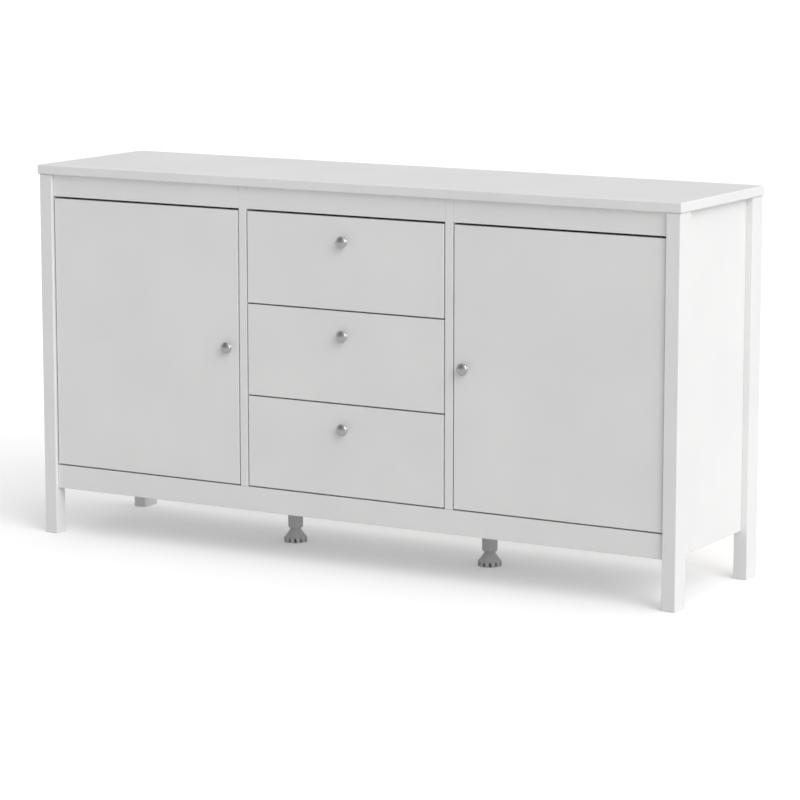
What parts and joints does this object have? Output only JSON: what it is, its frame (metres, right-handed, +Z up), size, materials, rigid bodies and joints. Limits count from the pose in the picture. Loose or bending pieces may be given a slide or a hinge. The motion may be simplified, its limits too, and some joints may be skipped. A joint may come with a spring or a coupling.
{
  "type": "sideboard buffet",
  "caption": "Post-framed white sideboard with inset doors at both ends, inset drawers in the middle, round metal knobs and support feet under the carcass.",
  "frame": {"origin": "on the floor under the centre of the bounding box, which reaches from the knobs to the top board's rear edge", "axes": "+X to the right along the length, +Y to the back, +Z up; the doors and drawers face -Y"},
  "size_m": [1.512, 0.391, 0.797],
  "materials": {
    "white_foil": "white foil on particleboard, satin",
    "white_hardboard": "white lacquered hardboard, satin",
    "dark_metal": "dark satin metal",
    "plated_steel": "nickel-plated pressed steel",
    "grey_plastic": "moulded grey plastic, matte",
    "white_plastic": "moulded white plastic, satin",
    "clear_grey_plastic": "moulded pale grey plastic"
  },
  "bodies": {
    "carcass": {"top_panel": "white_foil", "left_side_panel": "white_foil", "right_side_panel": "white_foil", "left_front_post": "white_foil", "right_front_post": "white_foil", "left_rear_post": "white_foil", "right_rear_post": "white_foil", "left_partition": "white_foil", "right_partition": "white_foil", "bottom_panel": "white_foil", "bottom_rail": "white_foil", "left_top_rail": "white_foil", "middle_top_rail": "white_foil", "right_top_rail": "white_foil", "back_panel": "white_hardboard", "left_shelf": "white_foil", "right_shelf": "white_foil", "left_shelf_pin_inner_front": "clear_grey_plastic", "left_shelf_pin_inner_rear": "clear_grey_plastic", "left_shelf_pin_outer_front": "clear_grey_plastic", "left_shelf_pin_outer_rear": "clear_grey_plastic", "right_shelf_pin_inner_front": "clear_grey_plastic", "right_shelf_pin_inner_rear": "clear_grey_plastic", "right_shelf_pin_outer_front": "clear_grey_plastic", "right_shelf_pin_outer_rear": "clear_grey_plastic", "left_lower_hinge_arm": "plated_steel", "left_upper_hinge_arm": "plated_steel", "right_lower_hinge_arm": "plated_steel", "right_upper_hinge_arm": "plated_steel", "left_bottom_runner": "white_plastic", "left_middle_runner": "white_plastic", "left_top_runner": "white_plastic", "right_bottom_runner": "white_plastic", "right_middle_runner": "white_plastic", "right_top_runner": "white_plastic", "left_foot_sleeve": "grey_plastic", "right_foot_sleeve": "grey_plastic"},
    "left_door_leaf": {"left_door": "white_foil", "left_door_knob": "dark_metal", "left_lower_hinge_cup": "plated_steel", "left_upper_hinge_cup": "plated_steel"},
    "right_door_leaf": {"right_door": "white_foil", "right_door_knob": "dark_metal", "right_lower_hinge_cup": "plated_steel", "right_upper_hinge_cup": "plated_steel"},
    "bottom_drawer": {"bottom_drawer_front": "white_foil", "bottom_drawer_box": "white_foil", "bottom_drawer_bottom": "white_hardboard", "bottom_drawer_knob": "dark_metal"},
    "middle_drawer": {"middle_drawer_front": "white_foil", "middle_drawer_box": "white_foil", "middle_drawer_bottom": "white_hardboard", "middle_drawer_knob": "dark_metal"},
    "top_drawer": {"top_drawer_front": "white_foil", "top_drawer_box": "white_foil", "top_drawer_bottom": "white_hardboard", "top_drawer_knob": "dark_metal"},
    "left_foot": {"left_screw_foot": "grey_plastic"},
    "right_foot": {"right_screw_foot": "grey_plastic"}
  },
  "joints": [
    {"name": "left_door_hinge", "type": "hinge", "parent": "carcass", "child": "left_door_leaf", "pos_m": [-0.7085, -0.1705, 0.4395], "axis": [0, 0, -1], "range_deg": [0, 95]},
    {"name": "right_door_hinge", "type": "hinge", "parent": "carcass", "child": "right_door_leaf", "pos_m": [0.7085, -0.1705, 0.4395], "axis": [0, 0, 1], "range_deg": [0, 95]},
    {"name": "bottom_drawer_slide", "type": "slide", "parent": "carcass", "child": "bottom_drawer", "axis": [0, -1, 0], "range_m": [0, 0.25]},
    {"name": "middle_drawer_slide", "type": "slide", "parent": "carcass", "child": "middle_drawer", "axis": [0, -1, 0], "range_m": [0, 0.25]},
    {"name": "top_drawer_slide", "type": "slide", "parent": "carcass", "child": "top_drawer", "axis": [0, -1, 0], "range_m": [0, 0.25]},
    {"name": "left_foot_height", "type": "slide", "parent": "carcass", "child": "left_foot", "axis": [0, 0, 1], "range_m": [-0.01, 0.0025]},
    {"name": "right_foot_height", "type": "slide", "parent": "carcass", "child": "right_foot", "axis": [0, 0, 1], "range_m": [-0.01, 0.0025]}
  ]
}
